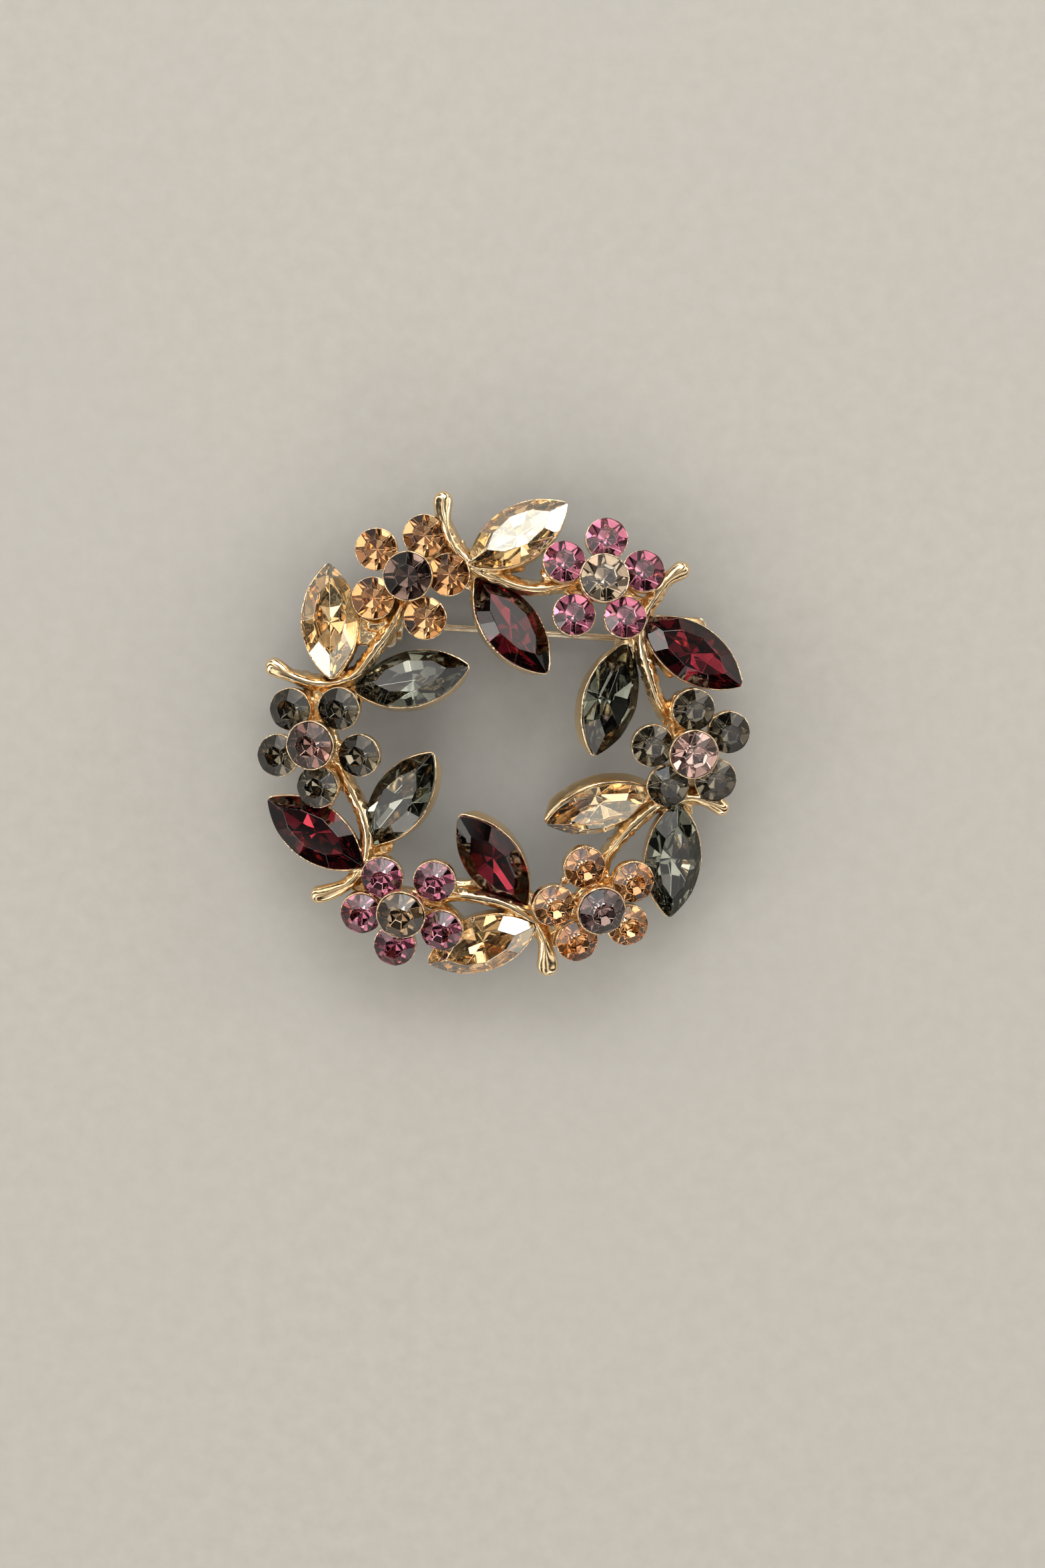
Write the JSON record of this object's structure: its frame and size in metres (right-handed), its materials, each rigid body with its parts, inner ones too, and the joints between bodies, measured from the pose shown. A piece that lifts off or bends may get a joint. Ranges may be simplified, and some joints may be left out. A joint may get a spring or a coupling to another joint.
{
  "type": "wreath brooch",
  "caption": "Wreath-shaped brooch: a plated openwork ring of leaves and flowers set with cut glass stones, with a hinged pin and a turning safety catch on the back.",
  "frame": {"origin": "under the middle of the outline of the brooch, level with the lowest point of the catch on its back, which is where it rests when laid down", "axes": "+Z out of the front of the brooch, +Y to its top edge, +X to the right seen from the front; the pin runs across the back along X, its point at -X"},
  "size_m": [0.045, 0.0446, 0.011],
  "materials": {
    "plated_casting": "polished light-gold plating over a cast zinc alloy",
    "plated_fitting": "smooth light-gold plating",
    "steel_wire": "drawn wire, pale plated",
    "peach_glass": "cut glass with a foiled back",
    "amethyst_glass": "cut glass with a foiled back",
    "black_diamond_glass": "cut glass with a foiled back",
    "taupe_glass": "cut glass with a foiled back",
    "grey_green_glass": "cut glass with a foiled back",
    "pale_pink_glass": "cut glass with a foiled back",
    "mauve_glass": "cut glass with a foiled back",
    "smoky_glass": "cut glass with a foiled back",
    "brown_mauve_glass": "cut glass with a foiled back",
    "champagne_glass": "cut glass with a foiled back",
    "grey_glass": "cut glass with a foiled back",
    "burgundy_glass": "cut glass with a foiled back"
  },
  "bodies": {
    "brooch_front": {"petal_stone_1a": "peach_glass", "petal_stone_1b": "peach_glass", "petal_stone_1c": "peach_glass", "petal_stone_1d": "peach_glass", "petal_stone_1e": "peach_glass", "centre_stone_1": "taupe_glass", "petal_stone_2a": "amethyst_glass", "petal_stone_2b": "amethyst_glass", "petal_stone_2c": "amethyst_glass", "petal_stone_2d": "amethyst_glass", "petal_stone_2e": "amethyst_glass", "centre_stone_2": "grey_green_glass", "petal_stone_3a": "black_diamond_glass", "petal_stone_3b": "black_diamond_glass", "petal_stone_3c": "black_diamond_glass", "petal_stone_3d": "black_diamond_glass", "petal_stone_3e": "black_diamond_glass", "centre_stone_3": "pale_pink_glass", "petal_stone_4a": "peach_glass", "petal_stone_4b": "peach_glass", "petal_stone_4c": "peach_glass", "petal_stone_4d": "peach_glass", "petal_stone_4e": "peach_glass", "centre_stone_4": "mauve_glass", "petal_stone_5a": "amethyst_glass", "petal_stone_5b": "amethyst_glass", "petal_stone_5c": "amethyst_glass", "petal_stone_5d": "amethyst_glass", "petal_stone_5e": "amethyst_glass", "centre_stone_5": "smoky_glass", "petal_stone_6a": "black_diamond_glass", "petal_stone_6b": "black_diamond_glass", "petal_stone_6c": "black_diamond_glass", "petal_stone_6d": "black_diamond_glass", "petal_stone_6e": "black_diamond_glass", "centre_stone_6": "brown_mauve_glass", "leaf_stone_1_outer": "champagne_glass", "leaf_stone_1_inner": "grey_glass", "leaf_stone_2_outer": "champagne_glass", "leaf_stone_2_inner": "burgundy_glass", "leaf_stone_3_outer": "burgundy_glass", "leaf_stone_3_inner": "grey_glass", "leaf_stone_4_outer": "grey_glass", "leaf_stone_4_inner": "champagne_glass", "leaf_stone_5_outer": "champagne_glass", "leaf_stone_5_inner": "burgundy_glass", "leaf_stone_6_outer": "burgundy_glass", "leaf_stone_6_inner": "grey_glass", "wreath_frame": "plated_casting", "hinge_plate": "plated_fitting", "hinge_rivet": "plated_fitting", "catch_body": "plated_fitting"},
    "pin": {"pin_stem": "steel_wire"},
    "catch_collar": {"catch_rotor": "plated_fitting"}
  },
  "joints": [
    {"name": "pin_swing", "type": "hinge", "parent": "brooch_front", "child": "pin", "pos_m": [0.01581, 0.0081, 0.00163], "axis": [-0.0626, -0.998, 0], "range_deg": [0, 100]},
    {"name": "catch_turn", "type": "hinge", "parent": "brooch_front", "child": "catch_collar", "pos_m": [-0.01074, 0.00977, 0.00163], "axis": [-0.998, 0.0626, 0], "range_deg": [0, 160]}
  ]
}
